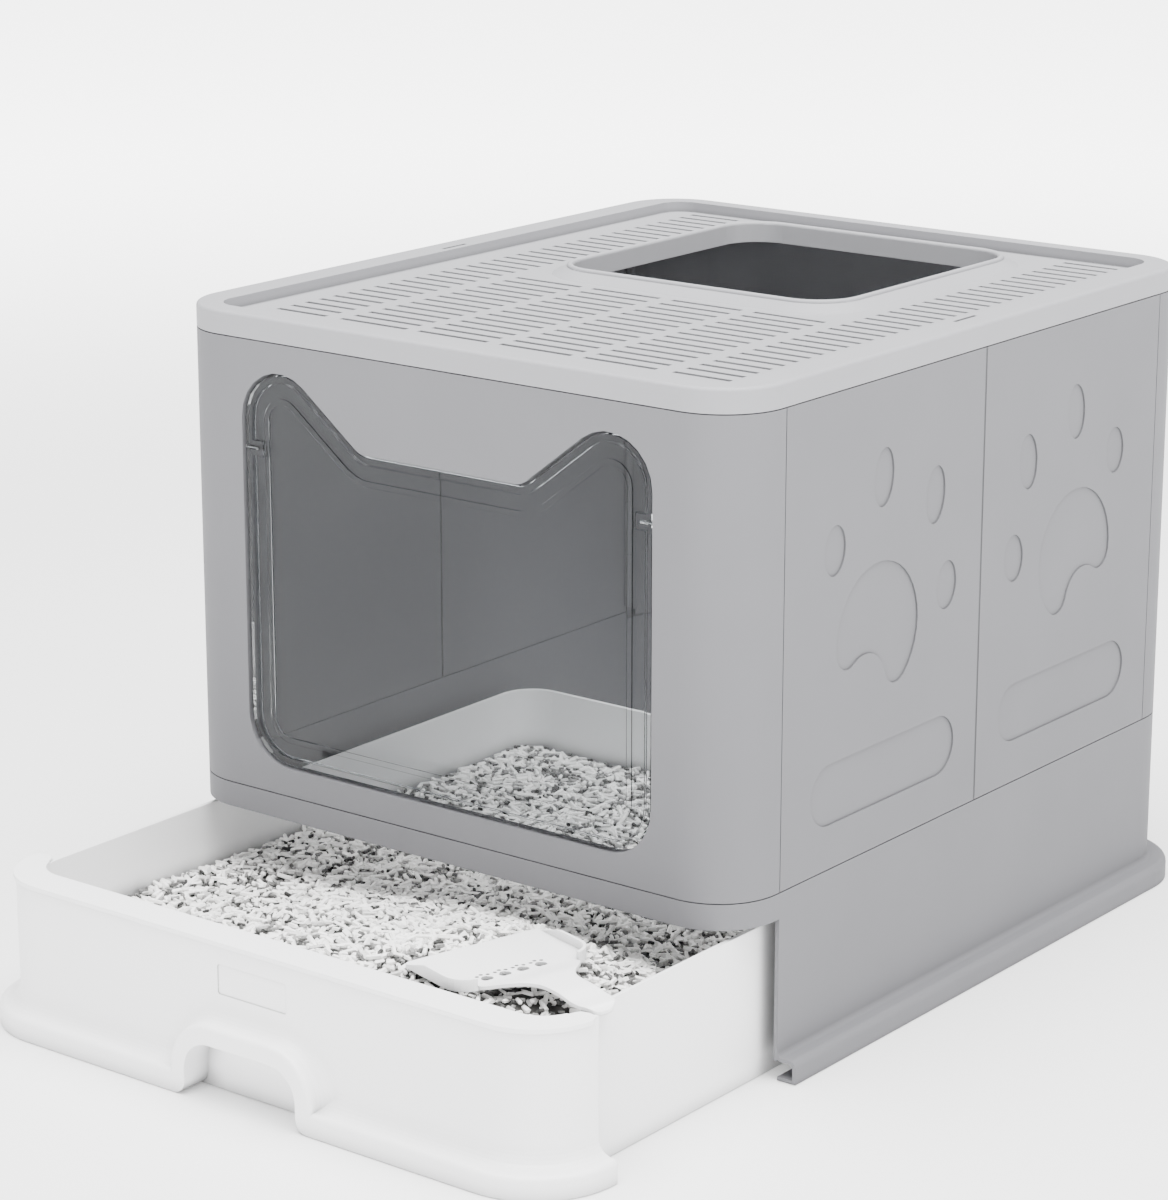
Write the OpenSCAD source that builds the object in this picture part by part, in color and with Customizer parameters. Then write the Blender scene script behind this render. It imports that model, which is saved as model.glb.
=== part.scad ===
// Foldable litter box with a top exit, a front flap and a pull-out drawer.
// Frame: origin on the floor under the centre of the housing, X to the right, Y to the back, Z up.
// Open sides, folding walls and the drawer are drawn as they stand with the drawer pulled part way out.

/* [Housing] */
// Width of the housing over its side walls
body_w = 400; // [380:1:440]
// Depth of the housing from front face to rear face
body_d = 474; // [460:1:520]
// Height of the lid's rim above the floor
body_h = 388; // [380:1:420]
// Radius of the four upright corners
corner_r = 38; // [30:1:40]
// Distance of the upright corner seams from the front and rear faces
seam_inset = 42; // [41:1:50]
// Thickness of the moulded walls
wall = 2.5; // [2.3:0.1:3]
// Height of the seam between base and walls
base_h = 108; // [104:1:114]
// Height of the lid's skirt
lid_h = 14; // [13:0.5:16]
// Gap between parts that meet edge to edge
seam_gap = 0.6; // [0.3:0.1:0.6]
// Height of the tongue that laps inside the neighbour at a seam
lap_h = 4.6; // [3:0.1:4.6]
// Clearance beside a lap
lap_gap = 0.3; // [0.2:0.05:0.4]

/* [Corner hinges] */
// Distance of the hinge axis from the wall's outer face
hinge_inset = 4; // [3.8:0.1:4.5]
// Radius of the knuckles
knuckle_r = 3; // [2.8:0.1:3.1]
// Number of knuckles in one hinge, odd
knuckles = 7; // [5:2:9]
// Gap round and between knuckles
knuckle_gap = 0.3; // [0.2:0.05:0.4]
// Radius of the hinge pins
pin_r = 1.25; // [1:0.05:1.4]
// Radial clearance of a pin in its bore
pin_fit = 0.05; // [0.02:0.01:0.08]
// Material left under a pin in the lowest knuckle
pin_stop = 2; // [1:0.5:4]

/* [Middle folds] */
// Gap between the two halves of a side wall
fold_gap = 1.6; // [1.4:0.1:2]
// Depth of the flexible strip below the outer face
strip_depth = 1.5; // [1.2:0.1:1.6]
// Height of the strip's tongue in the front half
strip_root = 1.8; // [1:0.1:2.5]

/* [Flap opening] */
// Distance from the housing's side to the flap opening
flap_side = 55; // [50:1:65]
// Height of the opening's lower edge above the floor
flap_bottom = 124.5; // [122:0.5:132]
// Height of the opening's ear tips
ear_top = 357; // [350:0.5:359]
// Height of the opening between the ears
head_z = 319; // [316:0.5:326]
// Radius of the ears
ear_r = 29; // [26:1:32]
// Slope of the ears' inner edges
ear_slope = 37.6; // [34:0.1:42]
// Radius where an ear meets the head line
brow_r = 14; // [10:1:18]
// Radius of the opening's lower corners
flap_corner_r = 30; // [24:1:36]
// Depth of the lip round the opening
jamb_depth = 8; // [7:0.5:10]
// Thickness of that lip
jamb_t = 2.2; // [2:0.1:2.6]

/* [Flap] */
// Gap between flap and opening
flap_gap = 1.8; // [1.5:0.1:2.2]
// Thickness of the pane
pane_t = 1.8; // [1.5:0.1:2.2]
// Thickness of the flap's edge bead
bead_t = 4.4; // [4:0.1:4.6]
// Width of the edge bead
bead_w = 4.2; // [3.5:0.1:5]
// Distance of the inner bead from the opening's edge
inner_bead_in = 15; // [13:0.5:17]
// Width of the inner bead
inner_bead_w = 3.4; // [3:0.1:4]
// Height of the flap's axis above the floor
flap_axis_z = 311; // [309:0.5:313]
// Depth of the flap's axis behind the front face
flap_axis_in = 4; // [3.8:0.1:4.4]
// Radius of the flap's pivot pins
flap_pin_r = 1.2; // [1:0.05:1.3]

/* [Side wall relief] */
// Depth of the relief in the side walls
relief_depth = 1; // [0.5:0.1:1]
// Distance of a paw's pad centre from the middle fold
paw_y = 104.7; // [100:0.1:108]
// Height of the pad centre
paw_z = 232.3; // [220:0.1:240]
// Tilt of the paw print away from the middle fold
paw_tilt = 21; // [10:1:30]
// Distance of the grip recess's near end from the middle fold
grip_near = 24; // [20:1:30]
// Distance of its far end from the middle fold
grip_far = 167; // [150:1:175]
// Height of its centre above the floor
grip_z = 151; // [145:1:158]
// Height of the grip recess
grip_h = 35; // [28:1:38]

/* [Lid] */
// Width of the lid's rim along the sides
rim_side = 20.5; // [18:0.5:24]
// Width of the lid's rim at front and rear
rim_end = 14.3; // [13:0.1:17]
// Radius of the tray-like pocket's corners
pocket_r = 16; // [12:1:20]
// Depth of the pocket
pocket_deep = 6.5; // [5:0.1:6.9]
// Thickness of the pocket's floor
floor_t = 2; // [1.6:0.1:2]
// Width of one slot along the lid
slot_w = 3.8; // [3:0.1:4.5]
// Distance between slot centres
slot_pitch = 12.17; // [11.8:0.01:12.2]
// Number of slot rows
slot_rows = 36; // [30:1:36]
// Number of rows in front of the exit
front_rows = 16; // [12:1:16]
// Distance from the housing's side to the exit's bead
exit_side = 97; // [94:1:102]
// Front edge of the exit's bead
exit_front = -12; // [-16:1:-8]
// Rear edge of the exit's bead
exit_rear = 197; // [190:1:202]
// Radius of the exit's corners over the bead
exit_r = 30; // [26:1:34]
// Width of the exit's bead
exit_bead = 4; // [3:0.5:4.5]
// Room between the exit's bead and the rear wall's upper tongue
exit_pass = 12; // [8:1:20]
// Width of the sloping collar round the bead
exit_collar = 9; // [6:0.5:10]

/* [Drawer] */
// How far the drawer stands out of the housing
drawer_out = 158; // [100:1:200]
// Height of the drawer's front rim
drawer_h = 88.5; // [86:0.5:88.5]
// Width of the front rim
front_rim = 20; // [16:0.5:24]
// How far the rim overhangs the drawer's front
rim_over = 1.5; // [1:0.1:2]
// Gap between the drawer's tray and the base's side wall
tray_side_gap = 8.5; // [8.5:0.5:16]
// Length of the tray from its front wall to its rear wall
tray_len = 452; // [400:1:454]
// Radius of the tray's corners
tray_r = 24; // [16:1:26]
// Height of the tray's side walls
tray_h = 87; // [80:0.5:87]
// Half width of the finger notch
notch_half_w = 40; // [34:1:46]
// Height of the finger notch
notch_h = 33; // [28:1:36]
// Radius of the notch's upper corners
notch_r = 18; // [12:1:20]
// Radius of the flare at the notch's feet
notch_flare = 8; // [4:1:10]
// Depth of the notch behind the drawer's front face
notch_deep = 7; // [5:0.5:10]
// Half width of the bare label recess
label_half_w = 24.5; // [20:0.5:30]
// Height of the label recess's centre
label_z = 67; // [64:0.5:70]
// Height of the label recess
label_h = 17; // [12:0.5:20]
// Depth of the label recess
label_deep = 0.6; // [0.4:0.1:1]

/* [Foot flange] */
// How far the foot flange stands out from the walls
foot_out = 12; // [10:0.5:14]
// Height of the foot flange
foot_h = 13; // [11:0.5:16]
// Thickness of the foot flange
foot_t = 2; // [1.6:0.1:2.4]

/* [Base] */
// Height of the band over the drawer above the floor
band_z = 93; // [93:0.5:95]
// Depth of the band's inner flange
band_flange = 6; // [4:0.5:8]

/* [Litter] */
// Depth of the litter away from the heap
litter_h = 50; // [40:1:55]
// Extra height of the heap
heap_h = 24; // [10:1:26]
// Distance of the heap's top to the right of the housing's middle
heap_x = 25; // [0:1:50]
// Distance of the heap's top behind the drawer's front face
heap_in = 95; // [80:1:130]
// Radius over which the heap falls off
heap_r = 120; // [90:1:140]
// Extra height of the heap that the scoop lies on
seat_h = 36; // [24:1:40]
// Radius over which that seat falls off
seat_r = 66; // [50:1:70]
// Gap between the scoop and the litter
seat_gap = 0.8; // [0.5:0.1:1.5]
// Gap between litter and tray walls
litter_gap = 0.3; // [0.2:0.1:1]

/* [Scoop] */
// Length of the scoop's pan
pan_len = 52; // [46:1:56]
// Width of the scoop's pan
pan_w = 88; // [80:1:94]
// Height of the pan's walls
pan_h = 6.8; // [6:0.1:6.9]
// Height of the pan's underside above the floor
pan_z = 85.5; // [84:0.1:85.8]
// Distance of the pan's centre from the housing's right side
pan_side = 90; // [88:1:100]
// Distance of the pan's centre behind the drawer's front face
pan_in = 73.5; // [72:0.5:80]
// Turn of the scoop, its handle towards the front right corner
scoop_turn = -16; // [-18:1:-12]
// Thickness of the pan and its handle
scoop_t = 2; // [1.6:0.1:2.4]
// Width of the handle
handle_w = 22; // [18:1:26]
// Length of the handle behind the pan
handle_len = 62; // [50:1:62]
// Height of the handle's underside over the pan's underside
handle_lift = 3.3; // [3.1:0.1:3.6]

/* [Hidden] */
$fn = 64;

hw = body_w / 2;
hd = body_d / 2;
seam_y = hd - seam_inset;                 // corner seams and hinge axes lie at this distance from the middle
lid_z = body_h - lid_h;                   // seam between walls and lid
hinge_x = hw - hinge_inset;
flap_half_w = hw - flap_side;
exit_half_w = hw - exit_side;
pan_x = hw - pan_side;
tray_half_w = hw - wall - tray_side_gap;
wall_lo = base_h + seam_gap / 2;          // lower edge of the walls
wall_hi = lid_z - seam_gap / 2;           // upper edge of the walls
hinge_end = 4;                            // wall above and below the knuckles
hinge_lo = wall_lo + hinge_end;
hinge_hi = wall_hi - hinge_end;
knuckle_len = (hinge_hi - hinge_lo) / knuckles;
notch_clear_r = knuckle_r + knuckle_gap;
flap_axis_y = -hd + flap_axis_in;
drawer_y = -hd - drawer_out;              // front face of the drawer
pocket_z = body_h - pocket_deep;          // upper face of the lid's floor
half_lap = wall / 2;

body_grey = [0.66, 0.66, 0.67];
lid_grey = [0.8, 0.8, 0.81];
white = [0.95, 0.95, 0.95];
dark_grey = [0.35, 0.35, 0.36];

// ---------- shared outlines and sweeps ----------

// Rectangle with rounded corners about the origin
module rounded_rect(w, d, r) {
    square([w - 2 * r, d], center = true);
    square([w, d - 2 * r], center = true);
    for (x = [-1, 1], y = [-1, 1]) translate([x * (w / 2 - r), y * (d / 2 - r)]) circle(r);
}

// Straight run of a profile along Y, profile x outwards and profile y upwards
module straight_run(len) rotate([90, 0, 0]) linear_extrude(len, center = true) children();

// Runs a profile along a U: back edge on y = 0, both corners, and sides that reach forward
module run_u(w, reach, r) {
    for (m = [0, 1]) mirror([m, 0, 0]) {
        translate([w / 2, -(reach + r) / 2, 0]) straight_run(reach - r) children();
        translate([w / 2 - r, -r, 0]) rotate_extrude(angle = 90) translate([r, 0]) children();
    }
    rotate(90) straight_run(w - 2 * r) children();
}

// The same U at the front of the housing, or further forward
module run_front(y_face, reach) translate([0, y_face, 0]) mirror([0, 1, 0])
    run_u(body_w, reach, corner_r) children();

module run_rear(reach) translate([0, hd, 0]) run_u(body_w, reach, corner_r) children();

// Points of an arc about c, from angle a to angle b
function arc(c, r, a, b, n = 8) = [for (i = [0:n]) let (t = a + (b - a) * i / n) c + r * [cos(t), sin(t)]];

// Polygon p moved outwards by d, its corners kept sharp
function unit(v) = v / norm(v);
function side_normal(a, b) = let (u = unit(b - a)) [u[1], -u[0]];
function moved(p, d) = let (n = len(p)) [for (i = [0:n - 1])
    let (q = side_normal(p[(i + n - 1) % n], p[i]), s = side_normal(p[i], p[(i + 1) % n]))
    p[i] + (q + s) * d / (1 + q * s)];

// Polygon p with every corner rounded by its own radius
function rounded(p, radii, n = 8) = let (m = len(p)) [for (i = [0:m - 1])
    let (a = unit(p[(i + m - 1) % m] - p[i]), b = unit(p[(i + 1) % m] - p[i]),
         half = acos(a * b) / 2, c = p[i] + unit(a + b) * radii[i] / sin(half),
         s = p[i] + a * radii[i] / tan(half), e = p[i] + b * radii[i] / tan(half),
         t0 = atan2(s[1] - c[1], s[0] - c[0]), t1 = atan2(e[1] - c[1], e[0] - c[0]),
         turn = t1 - t0 > 180 ? t1 - t0 - 360 : t1 - t0 < -180 ? t1 - t0 + 360 : t1 - t0)
    each arc(c, radii[i], t0, t0 + turn, n)];

// Outline of a cat's head with two ears, the shape of the opening, grown by d
ear_x = flap_half_w - ear_r;
ear_corner_z = ear_top - ear_r + ear_r * (1 + sin(ear_slope)) / cos(ear_slope);
brow_x = ear_x - (ear_r - cos(ear_slope) * (head_z - ear_top + ear_r)) / sin(ear_slope);
cat_corners = [[-flap_half_w, flap_bottom], [flap_half_w, flap_bottom], [flap_half_w, ear_corner_z],
               [brow_x, head_z], [-brow_x, head_z], [-flap_half_w, ear_corner_z]];
module cat_head(d) polygon(rounded(moved(cat_corners, d),
    [flap_corner_r + d, flap_corner_r + d, ear_r + d, brow_r - d, brow_r - d, ear_r + d]));

// A plate of the cat outline, upright, from depth a to depth b behind the front face
module cat_plate(a, b, d) translate([0, -hd + b, 0]) rotate([90, 0, 0]) linear_extrude(b - a) cat_head(d);

// A ring of the cat outline between two growths
module cat_ring(a, b, outer, inner) translate([0, -hd + b, 0]) rotate([90, 0, 0]) linear_extrude(b - a)
    difference() {
        cat_head(outer);
        cat_head(inner);
    }

// ---------- wall panels ----------

// Sections of a corner panel: its wall, its tongue into the base and its tongue into the lid
module wall_section() translate([-wall, wall_lo]) square([wall, wall_hi - wall_lo]);
module low_tongue() translate([-wall, wall_lo - lap_h]) square([half_lap - lap_gap / 2, lap_h + 1]);
module high_tongue() translate([-wall, wall_hi - 1]) square([half_lap - lap_gap / 2, lap_h + 1]);

// Knuckle number k of a corner hinge, turned about the axis at the origin
module knuckle(k) translate([0, 0, hinge_lo + k * knuckle_len + knuckle_gap / 2])
    cylinder(r = knuckle_r, h = knuckle_len - knuckle_gap);

// Room that knuckle number k needs in the neighbour
module knuckle_room(k) translate([0, 0, hinge_lo + k * knuckle_len - knuckle_gap / 2])
    cylinder(r = notch_clear_r, h = knuckle_len + knuckle_gap);

// Adds the knuckles of one side of a hinge: first is 0 for the fixed panels and 1 for the side walls
module with_knuckles(at, first) {
    difference() {
        union() {
            difference() {
                children();
                for (k = [1 - first:2:knuckles - 1]) translate(at) knuckle_room(k);
            }
            for (k = [first:2:knuckles - 1]) translate(at) knuckle(k);
        }
        translate([at[0], at[1], hinge_lo + pin_stop]) cylinder(r = pin_r + pin_fit, h = hinge_hi - hinge_lo);
    }
}

// Bearing blocks for the flap's pins stand behind the lip at each side
bearing_w = 6;
bearing_h = 12;
flap_pin_root = 8;                        // length of a pin inside the flap
flap_pin_tip = 4.5;                       // its length beyond the edge of the opening

module front_panel_blank() {
    difference() {
        run_front(-hd, seam_inset - seam_gap / 2) {
            wall_section();
            low_tongue();
            high_tongue();
        }
        cat_plate(-1, wall + 1, 0);
    }
    cat_ring(wall - 1, jamb_depth, jamb_t, 0);
    for (x = [-1, 1]) translate([x * (flap_half_w + jamb_t + bearing_w / 2 - 1),
        -hd + (wall + jamb_depth - 1) / 2, flap_axis_z])
            cube([bearing_w, jamb_depth - wall + 1, bearing_h], center = true);
}

module front_panel() color(body_grey) difference() {
    with_knuckles([-hinge_x, -seam_y], 0) with_knuckles([hinge_x, -seam_y], 0) front_panel_blank();
    for (x = [-1, 1]) translate([x * (flap_half_w - 1), flap_axis_y, flap_axis_z]) rotate([0, x * 90, 0])
        cylinder(r = flap_pin_r + pin_fit, h = flap_pin_tip + 1.5);
}

// The rear panel leads forward as the walls fold, so its lower tongue stays between the base's side walls
// and its upper one beside the stretch that would pass under the exit's skirt
module rear_panel_blank() {
    run_rear(seam_inset - seam_gap / 2) wall_section();
    intersection() {
        run_rear(seam_inset - seam_gap / 2) low_tongue();
        cube([2 * (hw - wall - lap_gap), 2 * body_d, 2 * body_h], center = true);
    }
    intersection() {
        run_rear(seam_inset - seam_gap / 2) high_tongue();
        for (x = [-1, 1]) translate([x * (exit_half_w + exit_pass + hw), 0, 0])
            cube([2 * hw, 2 * body_d, 3 * body_h], center = true);
    }
}

module rear_panel() color(body_grey)
    with_knuckles([-hinge_x, seam_y], 0) with_knuckles([hinge_x, seam_y], 0) rear_panel_blank();

// Outline of an oval with half axes a and b
module oval(a, b) polygon([for (t = [0:15:345]) [a * cos(t), b * sin(t)]]);

// Paw print: a domed pad with two lobes and an arch below, and four toes that stand nearly upright
pad_r = 40;
lobe_r = 11;
lobe_x = 25.5;
lobe_y = -13.3;
arch_r = 20.8;
arch_y = -32.3;
module paw_pad() {
    side = atan2(lobe_y, lobe_x);          // where the dome runs into a lobe
    foot = atan2(lobe_y - arch_y, lobe_x); // where a lobe runs into the arch
    polygon(concat(arc([0, 0], pad_r, side, 180 - side, 24),
        arc([-lobe_x, lobe_y], lobe_r, 180 - side, 360 - foot),
        arc([0, arch_y], arch_r, 180 - foot, foot),
        arc([lobe_x, lobe_y], lobe_r, 180 + foot, 360 + side)));
}

toe_turn = 16;                            // turn of the toes in the print
toes = [[-60, 36, 10, 14], [-28, 82, 9.5, 16.5], [28, 82, 9.5, 16.5], [60, 36, 10, 14]]; // place, half axes
module paw_print() {
    paw_pad();
    for (t = toes) translate([t[0], t[1]]) rotate(toe_turn) oval(t[2], t[3]);
}

// Relief on one half of a side wall, drawn for the half that runs forward from the fold, y then z
module wall_relief() {
    translate([-paw_y, paw_z]) rotate(-paw_tilt) paw_print();
    translate([-(grip_far + grip_near) / 2, grip_z])
        rounded_rect(grip_far - grip_near, grip_h, grip_h / 2 - 0.01);
}

// Half of the right side wall that runs forward from the fold, with its relief
module side_half_blank() difference() {
    translate([hw - wall, -seam_y + seam_gap / 2, wall_lo])
        cube([wall, seam_y - seam_gap / 2 - fold_gap / 2, wall_hi - wall_lo]);
    translate([hw - relief_depth, 0, 0]) rotate([90, 0, 90]) linear_extrude(2) wall_relief();
}

module side_half() with_knuckles([hinge_x, -seam_y], 1) side_half_blank();

// Slot in the edge of a front half for the root of its fold strip
strip_fit = 0.05;                         // clearance of the root in its slot
strip_cover = 0.7;                        // wall outside the slot
strip_sink = 0.1;                         // the strip lies this deep below the outer face
strip_free = 0.3;                         // gap between the strip and the rear half
module strip_slot() translate([hw - strip_depth, -fold_gap / 2 - strip_root - strip_fit, wall_lo - 1])
    cube([strip_depth - strip_cover, strip_root + 1, wall_hi - wall_lo + 2]);

module right_front_panel() color(body_grey) difference() {
    side_half();
    strip_slot();
}
module left_front_panel() color(body_grey) mirror([1, 0, 0]) difference() {
    side_half();
    strip_slot();
}
module right_rear_panel() color(body_grey) mirror([0, 1, 0]) side_half();
module left_rear_panel() color(body_grey) mirror([1, 0, 0]) mirror([0, 1, 0]) side_half();

// Flexible strip between the halves: a bead in the gap and a root in the front half
module fold_strip() {
    translate([hw - strip_depth, -fold_gap / 2, wall_lo])
        cube([strip_depth - strip_sink, fold_gap - strip_free, wall_hi - wall_lo]);
    translate([hw - strip_depth + strip_fit, -fold_gap / 2 - strip_root, wall_lo])
        cube([strip_depth - strip_cover - 2 * strip_fit, strip_root + fold_gap / 2, wall_hi - wall_lo]);
}
module right_fold_strip() color(dark_grey) fold_strip();
module left_fold_strip() color(dark_grey) mirror([1, 0, 0]) fold_strip();

// Hinge pin standing on the stop in the lowest knuckle
module hinge_pin(x, y) translate([x * hinge_x, y * seam_y, hinge_lo + pin_stop])
    cylinder(r = pin_r, h = hinge_hi - hinge_lo - pin_stop);
module hinge_pin_front_right() color("silver") hinge_pin(1, -1);
module hinge_pin_front_left() color("silver") hinge_pin(-1, -1);
module hinge_pin_rear_right() color("silver") hinge_pin(1, 1);
module hinge_pin_rear_left() color("silver") hinge_pin(-1, 1);

// ---------- flap ----------

flap_boss_w = 12;                         // thicker ends that hold the pins
flap_boss_h = 9;
bead_step = 0.6;                          // the inner bead stands this much lower than the edge bead
module flap_blank() {
    cat_plate(flap_axis_in - pane_t / 2, flap_axis_in + pane_t / 2, -flap_gap);
    cat_ring(flap_axis_in - bead_t / 2, flap_axis_in + bead_t / 2, -flap_gap, -flap_gap - bead_w);
    cat_ring(flap_axis_in - bead_t / 2 + bead_step, flap_axis_in,
        -inner_bead_in, -inner_bead_in - inner_bead_w);
    for (x = [-1, 1]) translate([x * (flap_half_w - flap_gap - flap_boss_w / 2), flap_axis_y, flap_axis_z])
        cube([flap_boss_w, bead_t, flap_boss_h], center = true);
}

press_fit = 0.02;                         // radial play of a pin that stays put
module flap_pane() color([0.85, 0.87, 0.88, 0.35]) difference() {
    flap_blank();
    for (x = [-1, 1]) translate([x * (flap_half_w - flap_gap - flap_pin_root), flap_axis_y, flap_axis_z])
        rotate([0, x * 90, 0]) cylinder(r = flap_pin_r + press_fit, h = flap_pin_root + 1);
}

// Pin from its stop in the flap, across the gap, into the panel's bearing block
module flap_pin(x) translate([x * (flap_half_w - flap_gap - flap_pin_root), flap_axis_y, flap_axis_z])
    rotate([0, x * 90, 0]) cylinder(r = flap_pin_r, h = flap_pin_root + flap_gap + flap_pin_tip);
module flap_pin_right() color("silver") flap_pin(1);
module flap_pin_left() color("silver") flap_pin(-1);

// ---------- lid ----------

// Section of the lid's skirt with a rounded outer edge
lid_edge_r = 2.2;
module lid_skirt_section() {
    translate([-wall, lid_z + seam_gap / 2]) square([wall, lid_h - seam_gap / 2 - lid_edge_r]);
    translate([-wall, body_h - wall]) square([wall - lid_edge_r, wall]);
    translate([-wall, body_h - wall]) square([wall, wall - lid_edge_r]);
    translate([-lid_edge_r, body_h - lid_edge_r]) circle(lid_edge_r);
}

// Skirt that covers the walls' tongues: thinner below the rim plate
module lid_skirt() difference() {
    union() {
        run_front(-hd, hd) lid_skirt_section();
        run_rear(hd) lid_skirt_section();
    }
    translate([0, 0, lid_z - 1]) linear_extrude(lid_h - wall + 1)
        rounded_rect(body_w - 2 * (half_lap - lap_gap / 2), body_d - 2 * (half_lap - lap_gap / 2),
            corner_r - half_lap + lap_gap / 2);
}

pocket_w = body_w - 2 * rim_side;
pocket_d = body_d - 2 * rim_end;
exit_w = 2 * exit_half_w;
exit_d = exit_rear - exit_front;
exit_y = (exit_front + exit_rear) / 2;

// A slim catch slot in the rim at the middle of each side
catch_in = 15;
catch_w = 2.5;
catch_len = 22;

module rim_plate() translate([0, 0, body_h - wall]) linear_extrude(wall) difference() {
    rounded_rect(body_w - 2 * lid_edge_r, body_d - 2 * lid_edge_r, corner_r - lid_edge_r);
    rounded_rect(pocket_w, pocket_d, pocket_r);
    for (x = [-1, 1]) translate([x * (hw - catch_in), 0]) square([catch_w, catch_len], center = true);
}

module pocket_wall() translate([0, 0, pocket_z - floor_t]) linear_extrude(body_h - pocket_z + floor_t)
    difference() {
        rounded_rect(pocket_w + 2 * wall, pocket_d + 2 * wall, pocket_r + wall);
        rounded_rect(pocket_w, pocket_d, pocket_r);
    }

// Slots in three columns each side of the middle; the outer column runs the whole length
slot_cols = [[4.5, 54], [62.5, 111.5], [122.5, 160]];
function slot_y(k) = (k - (slot_rows - 1) / 2) * slot_pitch;
module slots() for (m = [0, 1]) mirror([m, 0]) for (c = [0:2], k = [0:slot_rows - 1])
    if (c == 2 || k < front_rows)
        translate([slot_cols[c][0], slot_y(k) - slot_w / 2])
            square([slot_cols[c][1] - slot_cols[c][0], slot_w]);

module pocket_floor() translate([0, 0, pocket_z - floor_t]) linear_extrude(floor_t) difference() {
    rounded_rect(pocket_w + wall, pocket_d + wall, pocket_r + wall / 2);
    slots();
    translate([0, exit_y]) rounded_rect(exit_w - exit_bead, exit_d - exit_bead, exit_r - exit_bead / 2);
}

// Section of the exit's bead, its sloping collar and the skirt that hangs inside, just over the walls
exit_skirt_z = lid_z + 0.8;
module exit_section() {
    translate([-exit_bead / 2, body_h - exit_bead / 2]) circle(exit_bead / 2, $fn = 32);
    polygon([[-exit_bead, body_h - exit_bead / 2], [-exit_bead, exit_skirt_z],
             [-exit_bead + floor_t, exit_skirt_z], [-exit_bead + floor_t, pocket_z - floor_t],
             [exit_collar, pocket_z - floor_t], [exit_collar, pocket_z],
             [0, body_h - exit_bead / 2]]);
}

module exit_ring() translate([0, exit_y, 0]) for (m = [0, 1]) mirror([0, m, 0])
    translate([0, exit_d / 2, 0]) run_u(exit_w, exit_d / 2, exit_r) exit_section();

module lid() color(lid_grey) {
    lid_skirt();
    rim_plate();
    pocket_wall();
    pocket_floor();
    exit_ring();
}

// ---------- base ----------

// Hollow foot flange: hollow fillet f below the wall, then a rounded edge e down to the floor
module foot_section(f, e) {
    c = foot_out - e;
    outer = concat([[0, foot_h + f]], arc([f, foot_h + f], f, 180, 270, 6), arc([c, foot_h - e], e, 90, 0, 5),
                   [[foot_out, 0]]);
    inner = concat([[foot_out - foot_t, 0]], arc([c, foot_h - e], e - foot_t, 0, 90, 5),
                   arc([f, foot_h + f], f + foot_t, 270, 180, 6), [[-foot_t, foot_h + f]]);
    polygon(concat(outer, inner));
}

base_foot_f = 3;
base_foot_e = 4;
module base_section() {
    translate([-wall, foot_h - foot_t]) square([wall, base_h - seam_gap / 2 - foot_h + foot_t]);
    foot_section(base_foot_f, base_foot_e);
    square([foot_out, foot_t]);
}

// Band over the drawer with a stiffening flange along its lower edge
module band_section() {
    translate([-wall, band_z]) square([wall, base_h - seam_gap / 2 - band_z]);
    translate([-wall - band_flange, band_z]) square([wall + band_flange, foot_t]);
}

// Room for the walls' tongues along the top of the base
module lap_room() {
    translate([-wall - 1, base_h - seam_gap / 2 - lap_h - lap_gap])
        square([half_lap + 1 + lap_gap / 2, lap_h + lap_gap + 1]);
}

module base_frame() color(body_grey) difference() {
    union() {
        run_rear(hd + seam_y) base_section();
        run_front(-hd, seam_inset + 1) band_section();
    }
    run_rear(seam_inset) lap_room();
    run_front(-hd, seam_inset) lap_room();
}

// ---------- drawer ----------

shell_end = 0.5;                          // gap between the front shell and the base's side walls
shell_reach = seam_inset - shell_end;
tray_front = drawer_y + front_rim - wall; // front face of the tray's front wall
tray_y = tray_front + tray_len / 2;
front_foot_f = 9;
front_foot_e = 3;

module shell_section() {
    translate([-wall, foot_h + front_foot_f - 1]) square([wall, drawer_h - foot_h - front_foot_f + 1]);
    foot_section(front_foot_f, front_foot_e);
}

// Flat rim along the drawer's front, round both corners, with rounded ends
module front_rim_plate() {
    end_w = (hw + rim_over - tray_half_w + wall) / 2;
    end_y = drawer_y + shell_reach - end_w;
    translate([0, 0, drawer_h - wall]) linear_extrude(wall) {
        difference() {
            translate([0, drawer_y - rim_over + body_d / 2])
                rounded_rect(body_w + 2 * rim_over, body_d, corner_r + rim_over);
            translate([0, tray_y]) rounded_rect(2 * (tray_half_w - wall), tray_len - 2 * wall, tray_r - wall);
            translate([-body_w, end_y]) square([2 * body_w, 2 * body_d]);
        }
        for (x = [-1, 1]) translate([x * (hw + rim_over - end_w), end_y]) circle(end_w);
    }
}

module tray_shell() difference() {
    translate([0, tray_y, 0]) linear_extrude(tray_h) rounded_rect(2 * tray_half_w, tray_len, tray_r);
    translate([0, tray_y, wall]) linear_extrude(tray_h)
        rounded_rect(2 * (tray_half_w - wall), tray_len - 2 * wall, tray_r - wall);
}

// Arch outline of the finger notch, grown by d, x then z, its feet flaring at the floor
module notch_arch(d) {
    h = notch_h + d;
    w = notch_half_w + d;
    r = notch_r + d;
    e = notch_flare - d;
    translate([-w, -1]) square([2 * w, h - r + 1]);
    translate([-w + r, 0]) square([2 * (w - r), h]);
    for (x = [-1, 1]) {
        translate([x * (w - r), h - r]) circle(r);
        difference() {
            translate([x * (w + e / 2), e / 2 - 0.5]) square([e, e + 1], center = true);
            translate([x * (w + e), e]) circle(e);
        }
    }
}

module arch_plate(y0, y1, d) translate([0, y1, 0]) rotate([90, 0, 0]) linear_extrude(y1 - y0) notch_arch(d);

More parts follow.
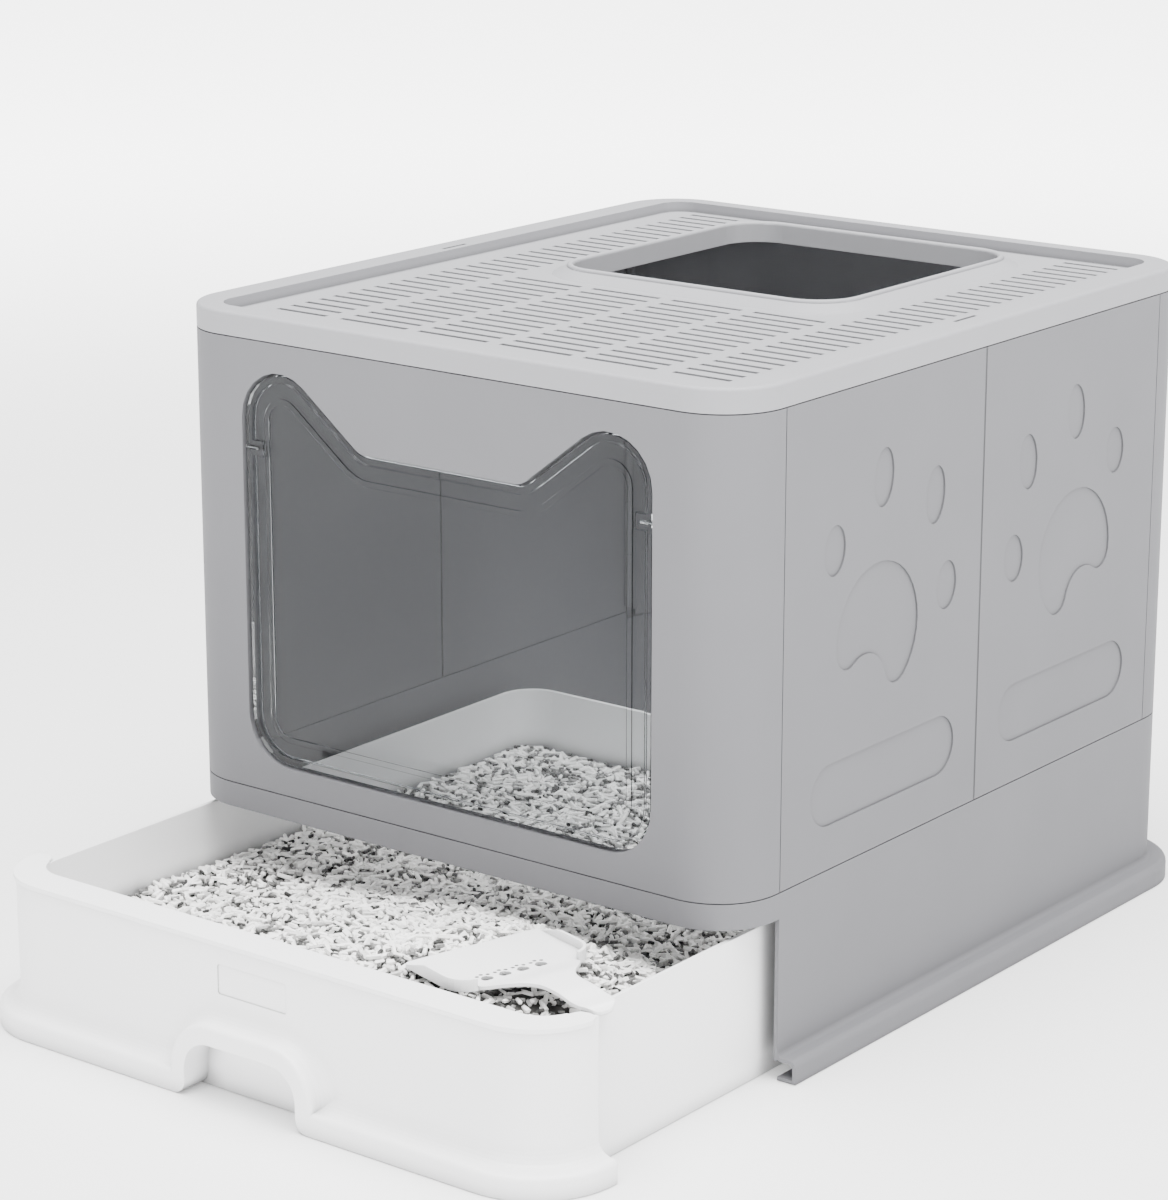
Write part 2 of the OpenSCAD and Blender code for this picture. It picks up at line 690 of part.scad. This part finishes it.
// The foot flange's own section carried round the notch: x away from the notch, y out from the face
arch_band = 11;                           // flat width round the notch
module arch_section() polygon(concat([[-1, -1], [-1, foot_out]],
    arc([arch_band - front_foot_e, foot_out - front_foot_e], front_foot_e, 90, 0, 5),
    arc([arch_band + front_foot_f, front_foot_f], front_foot_f, 180, 270, 6),
    [[arch_band + front_foot_f, -1]]));

module notch_surround() {
    arch_plate(drawer_y - 1, drawer_y + notch_deep + foot_t, foot_t);
    for (m = [0, 1]) mirror([m, 0, 0]) {
        translate([notch_half_w, drawer_y, 0]) linear_extrude(notch_h - notch_r)
            mirror([0, 1]) arch_section();
        translate([notch_half_w - notch_r, drawer_y, notch_h - notch_r]) rotate([90, 0, 0])
            rotate_extrude(angle = 90) translate([notch_r, 0]) arch_section();
    }
    translate([0, drawer_y, notch_h]) rotate([0, -90, 0])
        linear_extrude(2 * (notch_half_w - notch_r), center = true) mirror([0, 1]) arch_section();
}

label_r = 1.5;
module drawer_tray() color(white) {
    difference() {
        union() {
            run_front(drawer_y, shell_reach) shell_section();
            intersection() {
                notch_surround();
                translate([-hw, drawer_y - body_d, 0]) cube([body_w, 2 * body_d, body_h]);
            }
        }
        arch_plate(drawer_y - foot_out - 1, drawer_y + notch_deep, 0);
        translate([0, drawer_y - 1 + label_deep, label_z]) rotate([90, 0, 0])
            linear_extrude(2, center = true) rounded_rect(2 * label_half_w, label_h, label_r);
    }
    front_rim_plate();
    tray_shell();
}

// ---------- litter ----------

// Height of the litter at a point: level at the walls, heaped towards the front and under the scoop
ripple_h = 2.5;                           // slow waves in its surface
function mound(x, y, at_x, at_y, r) = exp(-pow((x - at_x) / r, 2) - pow((y - at_y) / r, 2));
function litter_z(x, y) = min(pan_z - seat_gap, litter_h
    + heap_h * mound(x, y, heap_x, drawer_y + heap_in, heap_r)
    + seat_h * mound(x, y, pan_x, drawer_y + pan_in, seat_r)
    + ripple_h * sin(x * 2.3 + 40) * cos(y * 1.9));

litter_nx = 24;
litter_ny = 28;
litter_w = tray_half_w - wall - litter_gap;
litter_l = tray_len - 2 * (wall + litter_gap);
function litter_x(i) = -litter_w + 2 * litter_w * i / litter_nx;
function litter_y(j) = tray_front + wall + litter_gap + litter_l * j / litter_ny;
litter_row = litter_nx + 1;
litter_pts = concat(
    [for (j = [0:litter_ny], i = [0:litter_nx])
        [litter_x(i), litter_y(j), litter_z(litter_x(i), litter_y(j))]],
    [for (j = [0:litter_ny], i = [0:litter_nx]) [litter_x(i), litter_y(j), wall]]);
litter_low = litter_row * (litter_ny + 1);
function up_quad(a, b, c, d) = [[a, b, c], [a, c, d]];

// Triangles of the top, the bottom and the four sides of the grid
litter_faces = concat(
    [for (j = [0:litter_ny - 1], i = [0:litter_nx - 1]) let (a = j * litter_row + i)
        each up_quad(a, a + litter_row, a + litter_row + 1, a + 1)],
    [for (j = [0:litter_ny - 1], i = [0:litter_nx - 1]) let (a = litter_low + j * litter_row + i)
        each up_quad(a, a + 1, a + litter_row + 1, a + litter_row)],
    [for (i = [0:litter_nx - 1]) each up_quad(i, i + 1, litter_low + i + 1, litter_low + i)],
    [for (i = [0:litter_nx - 1]) let (a = litter_ny * litter_row + i)
        each up_quad(a + 1, a, litter_low + a, litter_low + a + 1)],
    [for (j = [0:litter_ny - 1]) let (a = j * litter_row)
        each up_quad(a + litter_row, a, litter_low + a, litter_low + a + litter_row)],
    [for (j = [0:litter_ny - 1]) let (a = j * litter_row + litter_nx)
        each up_quad(a, a + litter_row, litter_low + a + litter_row, litter_low + a)]);

module litter_bed() color([0.8, 0.79, 0.77]) intersection() {
    polyhedron(litter_pts, litter_faces);
    translate([0, tray_y, 0]) linear_extrude(body_h)
        rounded_rect(2 * litter_w, litter_l, tray_r - wall - litter_gap);
}

// ---------- scoop ----------

// Outline of the pan: a straight lip and round shoulders at the handle's side
pan_lip_r = 4;
pan_shoulder_r = 14;
pan_corners = [[-pan_len / 2, -pan_w / 2], [pan_len / 2, -pan_w / 2], [pan_len / 2, pan_w / 2],
               [-pan_len / 2, pan_w / 2]];
module pan_outline(d) polygon(rounded(moved(pan_corners, d),
    [pan_lip_r + d, pan_shoulder_r + d, pan_shoulder_r + d, pan_lip_r + d], 6));

// Side view of the pan: flat at the lip, then its walls rise
pan_lip_len = 4;
pan_slope_len = 16;
module pan_profile() polygon(rounded([[-pan_len, -1], [pan_len, -1], [pan_len, pan_h],
    [-pan_len / 2 + pan_lip_len + pan_slope_len, pan_h], [-pan_len / 2 + pan_lip_len, scoop_t],
    [-pan_len, scoop_t]], [0.2, 0.2, 0.2, 12, 12, 0.2], 6));

// Paw-shaped sieve hole: a pad and three toes
sieve_pad_r = 2.4;
sieve_toe_r = 1.15;
sieve_toe_at = 4.9;
module sieve_paw() {
    for (y = [-1.1, 0, 1.1]) translate([abs(y), y]) circle(sieve_pad_r, $fn = 32);
    for (a = [-44, 0, 44]) rotate(a) translate([-sieve_toe_at, 0]) circle(sieve_toe_r, $fn = 24);
}

// Row of sieve holes along the shoulder line
sieve_pitch = 11.4;
sieve_in = 9;
sieve_off = -9.5;
module sieve_row() for (i = [-2:2]) translate([pan_len / 2 - sieve_in, sieve_off + i * sieve_pitch, -1])
    linear_extrude(pan_h) sieve_paw();

// The pan is open along its lip and where the handle leaves it
handle_root = pan_w - 2 * pan_shoulder_r + 4; // width of the handle at the pan
module pan() difference() {
    intersection() {
        linear_extrude(pan_h) pan_outline(0);
        rotate([90, 0, 0]) linear_extrude(2 * pan_w, center = true) pan_profile();
    }
    translate([0, 0, scoop_t]) linear_extrude(pan_h) pan_outline(-scoop_t);
    translate([pan_len / 2 - pan_shoulder_r, -handle_root / 2, scoop_t]) cube([pan_len, handle_root, pan_h]);
    translate([-pan_len, -pan_w / 2 + scoop_t, scoop_t]) cube([pan_len, pan_w - 2 * scoop_t, pan_h]);
}

// Side view of the handle: leaves the pan's floor, swings up, crosses the rim and dips at its end
handle_x = pan_len / 2 - 6;
handle_end = pan_len / 2 + handle_len;
handle_rise = 22;                         // length of the swing up
handle_sag = 1.4;
handle_sag_at = 26;                       // from the end to where it starts to sag
handle_sag_len = 14;
handle_tip_len = 4.5;
handle_tip_drop = 3;
handle_steps = 40;
function swing(t) = t <= 0 ? 0 : t >= 1 ? 1 : (1 - cos(180 * t)) / 2;
function handle_under(x) = handle_lift * swing((x - handle_x) / handle_rise)
    - handle_sag * swing((x - handle_end + handle_sag_at) / handle_sag_len)
    - handle_tip_drop * pow(max(0, (x - handle_end + handle_tip_len) / handle_tip_len), 2);
handle_xs = [for (i = [0:handle_steps]) handle_x + (handle_end - handle_x) * i / handle_steps];
module handle_side() polygon(concat(
    [for (x = handle_xs) [x, handle_under(x)]],
    [for (i = [handle_steps:-1:0]) [handle_xs[i], handle_under(handle_xs[i]) + scoop_t]]));

// Plan of the handle: its sides draw in from the shoulders in an S to the grip, with a round end
handle_off = 3;                           // the grip lies a little to the rear of the pan's middle
handle_bend = [pan_len / 2 + 3, pan_len / 2 + 20];
grip_lo = handle_off - handle_w / 2;
grip_hi = handle_off + handle_w / 2;
module handle_plan() polygon(rounded([[handle_x - 1, -handle_root / 2], [handle_bend[0], -handle_root / 2],
    [handle_bend[1], grip_lo], [handle_end, grip_lo], [handle_end, grip_hi], [handle_bend[1], grip_hi],
    [handle_bend[0], handle_root / 2], [handle_x - 1, handle_root / 2]],
    [0.5, 12, 16, 9, 9, 16, 12, 0.5], 6));

module handle() intersection() {
    rotate([90, 0, 0]) linear_extrude(2 * pan_w, center = true) handle_side();
    translate([0, 0, -pan_h]) linear_extrude(3 * pan_h) handle_plan();
}

module scoop() color(white) translate([pan_x, drawer_y + pan_in, pan_z]) rotate(scoop_turn) difference() {
    union() {
        pan();
        handle();
    }
    sieve_row();
}

base_frame();
front_panel();
rear_panel();
right_front_panel();
right_rear_panel();
left_front_panel();
left_rear_panel();
right_fold_strip();
left_fold_strip();
hinge_pin_front_right();
hinge_pin_front_left();
hinge_pin_rear_right();
hinge_pin_rear_left();
flap_pane();
flap_pin_right();
flap_pin_left();
lid();
drawer_tray();
litter_bed();
scoop();
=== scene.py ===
"""Looks of a foldable litter box with a pull-out drawer, a clear flap and a slotted lid."""

import math
import random

import bmesh
import bpy
from mathutils import Euler, Matrix, Vector
from mathutils.bvhtree import BVHTree


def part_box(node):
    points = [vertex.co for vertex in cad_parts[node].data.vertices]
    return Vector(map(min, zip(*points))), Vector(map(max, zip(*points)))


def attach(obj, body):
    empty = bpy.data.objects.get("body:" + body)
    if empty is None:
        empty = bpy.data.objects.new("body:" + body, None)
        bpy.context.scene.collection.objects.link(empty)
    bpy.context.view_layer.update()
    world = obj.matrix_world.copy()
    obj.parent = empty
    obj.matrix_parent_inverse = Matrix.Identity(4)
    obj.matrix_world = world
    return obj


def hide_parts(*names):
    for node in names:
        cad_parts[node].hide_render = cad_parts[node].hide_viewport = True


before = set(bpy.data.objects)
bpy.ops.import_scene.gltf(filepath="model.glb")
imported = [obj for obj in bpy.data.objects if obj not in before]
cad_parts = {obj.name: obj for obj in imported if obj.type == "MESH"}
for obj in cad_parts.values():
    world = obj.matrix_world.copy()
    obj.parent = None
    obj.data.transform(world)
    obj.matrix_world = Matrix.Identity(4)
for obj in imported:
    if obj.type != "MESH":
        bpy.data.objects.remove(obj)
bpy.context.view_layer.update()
MM = 0.001

# the camera that fits the photograph
IMAGE_WIDTH = 1168
FOCAL_PIXELS = 3668.4
SENSOR_MM = 36.0
CAMERA_PLACE = (1.2499, -1.7194, 0.7896)
CAMERA_DOWN = 15.68
CAMERA_TURN = 37.8
VIEW_DEPTH = 60.0

# the studio floor, a hair under the foot of the object; its glow grows from near to far
FLOOR_HALF_SIZE = 40.0
FLOOR_DROP = 0.4 * MM
GLOW_NEAR, GLOW_FAR = 1.0, 3.2
GLOW_LEAST, GLOW_MOST = 0.2, 4.5
SURROUND = 0.35

# litter: pellets lie in two layers on a grid that is shaken
PELLET_SIDES = 5
PELLET_STEP = 4.6 * MM
PELLET_MARGIN = 3 * MM
LAYER_DROPS = (3.2 * MM, 1.4 * MM)
TOP_LAYER_GAPS = 0.12
PELLET_MIX = (3, 4, 2, 6)
DARK_SLIVER = 3
BED_DROP = 4 * MM
SCOOP_DENT = 3 * MM
FRONT_ZONE_END = -0.235
MIDDLE_ZONE_END = -0.09


# ---------- material helpers ----------


def srgb(code):
    """An sRGB hex colour as linear red, green, blue and alpha."""
    parts = [int(code[i : i + 2], 16) / 255 for i in (1, 3, 5)]
    return [c / 12.92 if c <= 0.04045 else ((c + 0.055) / 1.055) ** 2.4 for c in parts] + [1.0]


def add_node(tree, kind, inputs=None, **settings):
    """Adds a node with its settings; inputs maps a socket's name or number to a value or an output."""
    made = tree.nodes.new(kind)
    for key, value in settings.items():
        setattr(made, key, value)
    for key, value in (inputs or {}).items():
        if isinstance(value, bpy.types.NodeSocket):
            tree.links.new(value, made.inputs[key])
        else:
            made.inputs[key].default_value = value
    return made


def new_material(name, **surface):
    """A material with one Principled surface, whose plain values are set on its own sockets."""
    made = bpy.data.materials.new(name)
    made.use_nodes = True
    tree = made.node_tree
    tree.nodes.clear()
    shader = add_node(tree, "ShaderNodeBsdfPrincipled")
    for key, value in surface.items():
        shader.inputs[key.replace("_", " ")].default_value = value
    add_node(tree, "ShaderNodeOutputMaterial", {"Surface": shader.outputs[0]})
    return made, tree, shader


def moulded_plastic(name, tints, grain_mm, rough, edge_mm, crease=(5, 0.5), **surface):
    """Injection-moulded plastic: tint drifts over a hand's width, a fine spark-eroded grain, soft edges.

    tints are the darkest and lightest hex colours, grain_mm the grain's width and depth, rough the
    least and most roughness, and edge_mm the radius that edges seem to have. crease is how far in mm
    painted shade reaches out of corners and seams, and the share of light that is left there.
    """
    made, tree, shader = new_material(name, **surface)
    place = add_node(tree, "ShaderNodeTexCoord").outputs["Object"]
    drift = add_node(tree, "ShaderNodeTexNoise", {"Vector": place, "Scale": 1 / (90 * MM), "Detail": 2.0})
    tint = add_node(
        tree,
        "ShaderNodeMix",
        {"Factor": drift.outputs["Fac"], 6: srgb(tints[0]), 7: srgb(tints[1])},
        data_type="RGBA",
    )
    # painted shade: the colour is darkened by ambient occlusion in corners, seams and under overhangs
    corner = add_node(tree, "ShaderNodeAmbientOcclusion", {"Distance": crease[0] * MM}, samples=6)
    crease_shade = add_node(
        tree,
        "ShaderNodeMapRange",
        {
            "Value": corner.outputs["AO"],
            "From Min": 0.3,
            "From Max": 0.85,
            "To Min": crease[1],
            "To Max": 1.0,
        },
    )
    shaded_tint = add_node(
        tree,
        "ShaderNodeMix",
        {"Factor": 1.0, 6: tint.outputs[2], 7: crease_shade.outputs[0]},
        data_type="RGBA",
        blend_type="MULTIPLY",
    )
    tree.links.new(shaded_tint.outputs[2], shader.inputs["Base Color"])
    grain = add_node(
        tree,
        "ShaderNodeTexNoise",
        {"Vector": place, "Scale": 1 / (grain_mm[0] * MM), "Detail": 3.0, "Roughness": 0.6},
    )
    # handling leaves the sheen uneven in patches of a few centimetres
    wear = add_node(tree, "ShaderNodeTexNoise", {"Vector": place, "Scale": 1 / (35 * MM), "Detail": 4.0})
    sheen = add_node(
        tree,
        "ShaderNodeMapRange",
        {"Value": wear.outputs["Fac"], "To Min": rough[0], "To Max": rough[1]},
    )
    tree.links.new(sheen.outputs[0], shader.inputs["Roughness"])
    edge = add_node(tree, "ShaderNodeBevel", {"Radius": edge_mm * MM}, samples=4)
    relief = add_node(
        tree,
        "ShaderNodeBump",
        {
            "Height": grain.outputs["Fac"],
            "Distance": grain_mm[1] * MM,
            "Strength": 1.0,
            "Normal": edge.outputs["Normal"],
        },
    )
    tree.links.new(relief.outputs["Normal"], shader.inputs["Normal"])
    return made


def dress(material, *nodes):
    """Gives CAD nodes a material."""
    for name in nodes:
        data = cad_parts[name].data
        data.materials.clear()
        data.materials.append(material)


# ---------- camera, floor and light ----------


def add_camera():
    """The camera of the photograph: right of the drawer, a little above the lid."""
    data = bpy.data.cameras.new("camera")
    data.sensor_fit = "HORIZONTAL"
    data.sensor_width = SENSOR_MM
    data.lens = SENSOR_MM * FOCAL_PIXELS / IMAGE_WIDTH
    data.clip_end = VIEW_DEPTH
    camera = bpy.data.objects.new("camera", data)
    camera.location = CAMERA_PLACE
    camera.rotation_euler = (math.radians(90 - CAMERA_DOWN), 0.0, math.radians(CAMERA_TURN))
    bpy.context.collection.objects.link(camera)
    bpy.context.scene.camera = camera


def add_floor():
    """A plain pale studio floor: a white sheet that is lit from below further out."""
    bm = bmesh.new()
    bmesh.ops.create_grid(bm, x_segments=1, y_segments=1, size=FLOOR_HALF_SIZE)
    data = bpy.data.meshes.new("floor")
    bm.to_mesh(data)
    bm.free()
    floor = bpy.data.objects.new("floor", data)
    floor.location = (0, 0, -FLOOR_DROP)
    bpy.context.collection.objects.link(floor)
    made, tree, shader = new_material(
        "backlit_floor_sheet", Roughness=0.9, Emission_Color=(1, 1, 1, 1)
    )
    place = add_node(tree, "ShaderNodeTexCoord").outputs["Object"]
    cloud = add_node(tree, "ShaderNodeTexNoise", {"Vector": place, "Scale": 1.5})
    tint = add_node(
        tree,
        "ShaderNodeMix",
        {"Factor": cloud.outputs["Fac"], 6: srgb("#E6E6E6"), 7: srgb("#E9E9E9")},
        data_type="RGBA",
    )
    tree.links.new(tint.outputs[2], shader.inputs["Base Color"])
    reach = add_node(tree, "ShaderNodeVectorMath", {0: place}, operation="LENGTH")
    glow = add_node(
        tree,
        "ShaderNodeMapRange",
        {
            "Value": reach.outputs["Value"],
            "From Min": GLOW_NEAR,
            "From Max": GLOW_FAR,
            "To Min": GLOW_LEAST,
            "To Max": GLOW_MOST,
        },
        interpolation_type="SMOOTHSTEP",
    )
    tree.links.new(glow.outputs[0], shader.inputs["Emission Strength"])
    data.materials.append(made)


def add_softbox(name, place, aim, size, power):
    """A square softbox at a place, turned towards a point."""
    data = bpy.data.lights.new(name, "AREA")
    data.shape = "SQUARE"
    data.size = size
    data.energy = power
    lamp = bpy.data.objects.new(name, data)
    lamp.location = place
    lamp.rotation_euler = (Vector(aim) - Vector(place)).to_track_quat("-Z", "Y").to_euler()
    lamp.visible_camera = False
    bpy.context.collection.objects.link(lamp)


def add_light():
    """An even white surround, a large softbox overhead, one from the right and a low fill in front."""
    world = bpy.data.worlds.new("studio")
    world.use_nodes = True
    world.node_tree.nodes["Background"].inputs["Color"].default_value = (1, 1, 1, 1)
    world.node_tree.nodes["Background"].inputs["Strength"].default_value = SURROUND
    bpy.context.scene.world = world
    add_softbox("overhead_softbox", (0.3, -0.3, 4.0), (0, 0, 0.2), 4.2, 900)
    add_softbox("right_softbox", (3.2, 0.2, 1.5), (0, 0, 0.2), 1.6, 80)
    add_softbox("front_fill", (0.4, -1.9, 0.35), (0, -0.2, 0.1), 0.9, 20)


# ---------- litter ----------


def granule_mesh(name, length, radius):
    """One pressed pellet: a short rod, a little tapered, with the edges of both ends rubbed off."""
    bm = bmesh.new()
    bmesh.ops.create_cone(
        bm, cap_ends=True, segments=PELLET_SIDES, radius1=radius, radius2=radius * 0.92, depth=length
    )
    ends = [e for e in bm.edges if abs(e.verts[0].co.z - e.verts[1].co.z) < 0.001 * MM]
    bmesh.ops.bevel(
        bm, geom=ends, offset=radius * 0.35, segments=1, profile=0.5, affect="EDGES", material=-1
    )
    bmesh.ops.triangulate(bm, faces=bm.faces[:])
    data = bpy.data.meshes.new(name)
    bm.to_mesh(data)
    bm.free()
    data.attributes.new("shade", "FLOAT", "POINT")
    return data


def scatter(name, shapes, places, material):
    """Joins copies of the pellet shapes into one piece, each with its own shade of grey."""
    bm = bmesh.new()
    for shape, matrix, shade in places:
        one = shapes[shape].copy()
        one.transform(matrix)
        one.attributes["shade"].data.foreach_set("value", [shade] * len(one.vertices))
        bm.from_mesh(one)
        bpy.data.meshes.remove(one)
    data = bpy.data.meshes.new(name)
    bm.to_mesh(data)
    bm.free()
    data.materials.append(material)
    piece = bpy.data.objects.new(name, data)
    bpy.context.collection.objects.link(piece)
    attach(piece, "drawer")


def litter_material():
    """Pressed paper pellets: chalky, most of them near white and many dark, with a rough broken surface.

    The flecks of the paper are about 0.3 mm and are drawn at 1.5 mm so that they show.
    """
    made, tree, shader = new_material("pressed_paper_pellets", Roughness=0.85)
    shade = add_node(tree, "ShaderNodeAttribute", attribute_name="shade").outputs["Fac"]
    place = add_node(tree, "ShaderNodeTexCoord").outputs["Object"]
    fleck = add_node(tree, "ShaderNodeTexNoise", {"Vector": place, "Scale": 1 / (1.5 * MM), "Detail": 3.0})
    mixed = add_node(
        tree, "ShaderNodeMath", {0: fleck.outputs["Fac"], 1: 0.3, 2: shade}, operation="MULTIPLY_ADD"
    )
    ramp = add_node(tree, "ShaderNodeValToRGB", {"Fac": mixed.outputs[0]})
    ramp.color_ramp.elements[0].position = 0.3
    ramp.color_ramp.elements[0].color = srgb("#2B2B2A")
    ramp.color_ramp.elements[1].position = 0.95
    ramp.color_ramp.elements[1].color = srgb("#F8F7F5")
    tree.links.new(ramp.outputs["Color"], shader.inputs["Base Color"])
    relief = add_node(
        tree, "ShaderNodeBump", {"Height": fleck.outputs["Fac"], "Distance": 0.3 * MM, "Strength": 0.8}
    )
    tree.links.new(relief.outputs["Normal"], shader.inputs["Normal"])
    return made


def solid_tree(node):
    """A search tree over a CAD node's faces."""
    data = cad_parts[node].data
    return BVHTree.FromPolygons([v.co for v in data.vertices], [p.vertices[:] for p in data.polygons])


def under_scoop(scoop, x, y, z):
    """True where the scoop lies close above on two opposite sides, so also under one of its holes."""
    reach = 6 * MM
    west, east, south, north = [
        scoop.ray_cast(Vector((x + dx, y + dy, z - 1 * MM)), Vector((0, 0, 1)), 5 * MM)[0] is not None
        for dx, dy in ((-reach, 0), (reach, 0), (0, -reach), (0, reach))
    ]
    return west and east or south and north


def painted_bed_shade_material():
    """What lies between the pellets: the deeper litter, painted dark as the shade deep between the pellets.
    """
    made, tree, shader = new_material("litter_bed_shade_painted", Roughness=0.95)
    place = add_node(tree, "ShaderNodeTexCoord").outputs["Object"]
    clump = add_node(tree, "ShaderNodeTexVoronoi", {"Vector": place, "Scale": 1 / (5 * MM)})
    tone = add_node(tree, "ShaderNodeValToRGB", {"Fac": clump.outputs["Distance"]})
    tone.color_ramp.elements[0].color = srgb("#504F4D")
    tone.color_ramp.elements[1].color = srgb("#1E1E1D")
    tree.links.new(tone.outputs["Color"], shader.inputs["Base Color"])
    relief = add_node(
        tree,
        "ShaderNodeBump",
        {"Height": clump.outputs["Distance"], "Distance": 1.5 * MM, "Strength": 0.7},
        invert=True,
    )
    tree.links.new(relief.outputs["Normal"], shader.inputs["Normal"])
    return made


def add_litter_depth():
    """The bed under the pellets: a merged copy of the solid, with its top let down."""
    low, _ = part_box("litter_bed")
    bm = bmesh.new()
    bm.from_mesh(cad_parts["litter_bed"].data)
    bmesh.ops.remove_doubles(bm, verts=bm.verts[:], dist=0.01 * MM)
    for v in bm.verts:
        if v.co.z > low.z + 20 * MM:
            v.co.z -= BED_DROP
    bmesh.ops.recalc_face_normals(bm, faces=bm.faces[:])
    data = bpy.data.meshes.new("litter_depth")
    bm.to_mesh(data)
    bm.free()
    # the bed is painted dark as the shade between the pellets
    data.materials.append(painted_bed_shade_material())
    bed = bpy.data.objects.new("litter_depth", data)
    bpy.context.collection.objects.link(bed)
    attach(bed, "drawer")
    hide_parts("litter_bed")


def pellet_places():
    """Shape, place and shade of every pellet, in three zones from the drawer's front to its rear."""
    low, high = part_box("litter_bed")
    surface = solid_tree("litter_bed")
    scoop = solid_tree("scoop")
    dice = random.Random(7)
    zones = {"litter_front": [], "litter_middle": [], "litter_rear": []}
    rows = int((high.y - low.y) / PELLET_STEP)
    cols = int((high.x - low.x) / PELLET_STEP)
    for layer, drop in enumerate(LAYER_DROPS):
        for cell in range(rows * cols):
            x = low.x + (cell % cols + dice.random()) * PELLET_STEP
            y = low.y + (cell // cols + dice.random()) * PELLET_STEP
            if layer == 1 and dice.random() < TOP_LAYER_GAPS:
                continue
            x = min(max(x, low.x + PELLET_MARGIN), high.x - PELLET_MARGIN)
            y = min(max(y, low.y + PELLET_MARGIN), high.y - PELLET_MARGIN)
            point, normal, _, _ = surface.ray_cast(Vector((x, y, 0.3)), Vector((0, 0, -1)))
            if point is None or normal.z < 0.3:
                continue
            lean = math.radians(90 + dice.gauss(0, 16))
            turn = dice.uniform(0, 2 * math.pi)
            kind = dice.choices(range(len(PELLET_MIX)), PELLET_MIX)[0]
            grow = dice.uniform(0.85, 1.15)
            sink = SCOOP_DENT if under_scoop(scoop, x, y, point.z) else 0.0
            matrix = (
                Matrix.Translation((x, y, point.z - drop - sink + dice.uniform(-0.6, 0.6) * MM))
                @ Euler((lean, dice.uniform(0, math.pi), turn)).to_matrix().to_4x4()
                @ Matrix.Scale(grow, 4)
            )
            if kind == DARK_SLIVER:
                shade = 0.12 + 0.25 * dice.random()
            else:
                shade = 1.0 - 0.5 * dice.random() ** 2.5
            if y < FRONT_ZONE_END:
                zone = "litter_front"
            else:
                zone = "litter_middle" if y < MIDDLE_ZONE_END else "litter_rear"
            zones[zone].append((kind, matrix, shade))
    return zones


def add_litter():
    """Loose pellets over the whole drawer, lying as they fell, on a darker bed."""
    add_litter_depth()
    pellets = litter_material()
    shapes = [
        granule_mesh("pellet_short", 5.5 * MM, 1.5 * MM),
        granule_mesh("pellet_mid", 8 * MM, 1.4 * MM),
        granule_mesh("pellet_long", 10 * MM, 1.3 * MM),
        granule_mesh("dark_sliver", 4.5 * MM, 1.1 * MM),
    ]
    for name, places in pellet_places().items():
        scatter(name, shapes, places, pellets)


# ---------- finishes of the moulded parts ----------


def dress_parts():
    """Materials of the CAD nodes."""
    # ABS, spark-eroded mould: an even light grey with a dry, low sheen. The grain is really
    # about 0.2 mm and is drawn at 1.2 mm so that it shows.
    housing = moulded_plastic(
        "abs_light_grey_matte", ("#67676A", "#6D6D70"), (1.2, 0.02), (0.6, 0.7), 0.5, IOR=1.53,
        Specular_IOR_Level=0.3,
    )
    dress(
        housing, "base_frame", "front_panel", "rear_panel", "right_front_panel", "right_rear_panel",
        "left_front_panel", "left_rear_panel",
    )
    # the same ABS, painted a shade paler to stand for the light that falls on the lid's top, and polished a
    # little more
    lid = moulded_plastic(
        "abs_grey_matte_painted_lit", ("#8B8B8E", "#919194"), (1.2, 0.015), (0.55, 0.65), 0.6, IOR=1.53,
        Specular_IOR_Level=0.3,
    )
    dress(lid, "lid")
    # polypropylene from a fine-stoned mould: clean white with a soft satin highlight. The stoning
    # is finer than 0.1 mm and is drawn at 1.6 mm, very shallow.
    # its painted shade reaches 14 mm out of corners, the notch and under the rim, and leaves 35% of the
    # light there
    white = moulded_plastic(
        "polypropylene_white_satin", ("#F4F4F5", "#F9F9F9"), (1.6, 0.008), (0.28, 0.4), 0.8,
        crease=(14, 0.35), IOR=1.49,
    )
    dress(white, "drawer_tray", "scoop")
    # thermoplastic elastomer, moulded: dull dark grey, soft to the touch; grain drawn at 1 mm
    strip = moulded_plastic(
        "elastomer_dark_grey", ("#3E3E40", "#48484A"), (1.0, 0.03), (0.7, 0.85), 0.3, IOR=1.5
    )
    dress(strip, "right_fold_strip", "left_fold_strip")
    # drawn stainless wire: bright, with faint die marks, which are drawn at 0.8 mm so that they show
    wire, tree, shader = new_material("drawn_stainless_wire", Metallic=1.0, Base_Color=srgb("#B9B9BA"))
    place = add_node(tree, "ShaderNodeTexCoord").outputs["Object"]
    lines = add_node(tree, "ShaderNodeTexNoise", {"Vector": place, "Scale": 1 / (0.8 * MM), "Detail": 2.0})
    sheen = add_node(
        tree, "ShaderNodeMapRange", {"Value": lines.outputs["Fac"], "To Min": 0.2, "To Max": 0.35}
    )
    tree.links.new(sheen.outputs[0], shader.inputs["Roughness"])
    dress(
        wire, "hinge_pin_front_right", "hinge_pin_front_left", "hinge_pin_rear_right",
        "hinge_pin_rear_left", "flap_pin_right", "flap_pin_left",
    )
    # PET, polished mould: clear with a faint smoke tint, a glossy skin and light rubbing marks
    clear, tree, shader = new_material(
        "pet_clear_smoke", Transmission_Weight=1.0, IOR=1.5, Base_Color=srgb("#DFE2E4"),
        Specular_Tint=(0.12, 0.12, 0.12, 1.0),
    )
    place = add_node(tree, "ShaderNodeTexCoord").outputs["Object"]
    rub = add_node(tree, "ShaderNodeTexNoise", {"Vector": place, "Scale": 1 / (25 * MM), "Detail": 5.0})
    haze = add_node(tree, "ShaderNodeMapRange", {"Value": rub.outputs["Fac"], "To Min": 0.0, "To Max": 0.03})
    tree.links.new(haze.outputs[0], shader.inputs["Roughness"])
    dress(clear, "flap_pane")


add_camera()
add_floor()
add_light()
dress_parts()
add_litter()
